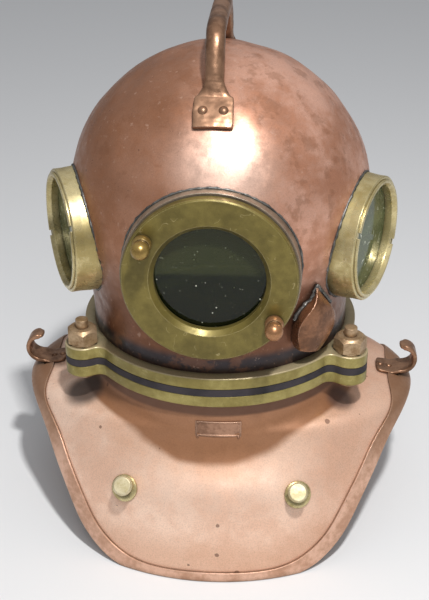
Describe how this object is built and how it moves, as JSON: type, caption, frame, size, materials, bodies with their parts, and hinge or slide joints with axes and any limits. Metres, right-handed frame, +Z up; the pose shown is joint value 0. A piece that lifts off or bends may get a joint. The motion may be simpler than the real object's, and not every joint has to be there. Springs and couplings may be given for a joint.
{
  "type": "diving helmet",
  "caption": "Three-bolt copper diving helmet with brass window rings and flanges on its breastplate.",
  "frame": {"origin": "on the floor under the neck axis, between the feet of the two aprons", "axes": "+Z up along the neck axis, the face looks along -Y, +X is the right of the picture"},
  "size_m": [0.398, 0.3528, 0.5],
  "materials": {
    "copper": "hammered copper, oiled",
    "bronze": "worn bronze",
    "brass": "dull cast brass",
    "glass": "thick old glass",
    "rubber": "matt",
    "steel": "spring wire"
  },
  "bodies": {
    "breastplate": {"breastplate_shell": "copper", "breastplate_rim": "copper", "lower_flange": "brass", "flange_studs": "bronze", "collar_gasket": "rubber", "left_shoulder_hook": "bronze", "right_shoulder_hook": "bronze", "hook_rivets": "bronze", "weight_stud_flanges": "brass", "weight_studs": "brass", "chest_plate": "brass", "chest_plate_pins": "brass"},
    "bonnet": {"bonnet_shell": "copper", "upper_flange": "brass", "front_window_seat": "brass", "left_window_barrel": "brass", "left_window_glass": "glass", "left_window_gasket": "rubber", "left_window_ring": "brass", "right_window_barrel": "brass", "right_window_glass": "glass", "right_window_gasket": "rubber", "right_window_ring": "brass", "carrying_handle": "bronze", "handle_rivets": "bronze", "exhaust_cowl": "copper", "exhaust_valve_body": "brass", "exhaust_spring": "steel", "air_inlet_elbow": "brass", "inlet_valve_seat": "brass", "inlet_spring": "steel", "air_ducts": "copper"},
    "face_plate_seal": {"face_plate_seal": "rubber"},
    "face_plate": {"front_bezel": "brass", "bezel_knobs": "brass", "front_glass": "glass", "front_glass_gasket": "rubber", "front_glass_retainer": "brass"},
    "exhaust_valve": {"exhaust_valve": "brass", "exhaust_button": "brass"},
    "inlet_valve": {"inlet_valve": "brass"},
    "rear_washer": {"rear_washer": "bronze"},
    "rear_nut": {"rear_nut": "bronze"},
    "left_washer": {"left_washer": "bronze"},
    "left_nut": {"left_nut": "bronze"},
    "right_washer": {"right_washer": "bronze"},
    "right_nut": {"right_nut": "bronze"}
  },
  "joints": [
    {"name": "bonnet_lift", "type": "slide", "parent": "breastplate", "child": "bonnet", "axis": [0, 0, 1], "range_m": [0, 0.08]},
    {"name": "face_plate_travel", "type": "slide", "parent": "bonnet", "child": "face_plate_seal", "axis": [0, -1, 0], "range_m": [0, 0.018]},
    {"name": "face_plate_turn", "type": "hinge", "parent": "face_plate_seal", "child": "face_plate", "pos_m": [0, -0.148, 0.302], "axis": [0, -1, 0], "range_deg": [0, 2160]},
    {"name": "rear_nut_travel", "type": "slide", "parent": "bonnet", "child": "rear_washer", "axis": [0, 0, 1], "range_m": [0, 0.0225]},
    {"name": "rear_nut_turn", "type": "hinge", "parent": "rear_washer", "child": "rear_nut", "pos_m": [0, 0.1455, 0.207], "axis": [0, 0, 1], "range_deg": [0, 3240]},
    {"name": "left_nut_travel", "type": "slide", "parent": "bonnet", "child": "left_washer", "axis": [0, 0, 1], "range_m": [0, 0.0225]},
    {"name": "left_nut_turn", "type": "hinge", "parent": "left_washer", "child": "left_nut", "pos_m": [-0.12601, -0.07275, 0.207], "axis": [0, 0, 1], "range_deg": [0, 3240]},
    {"name": "right_nut_travel", "type": "slide", "parent": "bonnet", "child": "right_washer", "axis": [0, 0, 1], "range_m": [0, 0.0225]},
    {"name": "right_nut_turn", "type": "hinge", "parent": "right_washer", "child": "right_nut", "pos_m": [0.12601, -0.07275, 0.207], "axis": [0, 0, 1], "range_deg": [0, 3240]},
    {"name": "exhaust_valve_slide", "type": "slide", "parent": "bonnet", "child": "exhaust_valve", "axis": [0.7157, -0.6984, 0], "range_m": [0, 0.0035], "stiffness_N_per_m": 600},
    {"name": "inlet_valve_slide", "type": "slide", "parent": "bonnet", "child": "inlet_valve", "axis": [0, -1, 0], "range_m": [0, 0.002], "stiffness_N_per_m": 300}
  ],
  "couplings": [
    {"joint": "face_plate_travel", "follows": "face_plate_turn", "m_per_rad": 0.00047746},
    {"joint": "rear_nut_travel", "follows": "rear_nut_turn", "m_per_rad": 0.00039789},
    {"joint": "left_nut_travel", "follows": "left_nut_turn", "m_per_rad": 0.00039789},
    {"joint": "right_nut_travel", "follows": "right_nut_turn", "m_per_rad": 0.00039789}
  ]
}
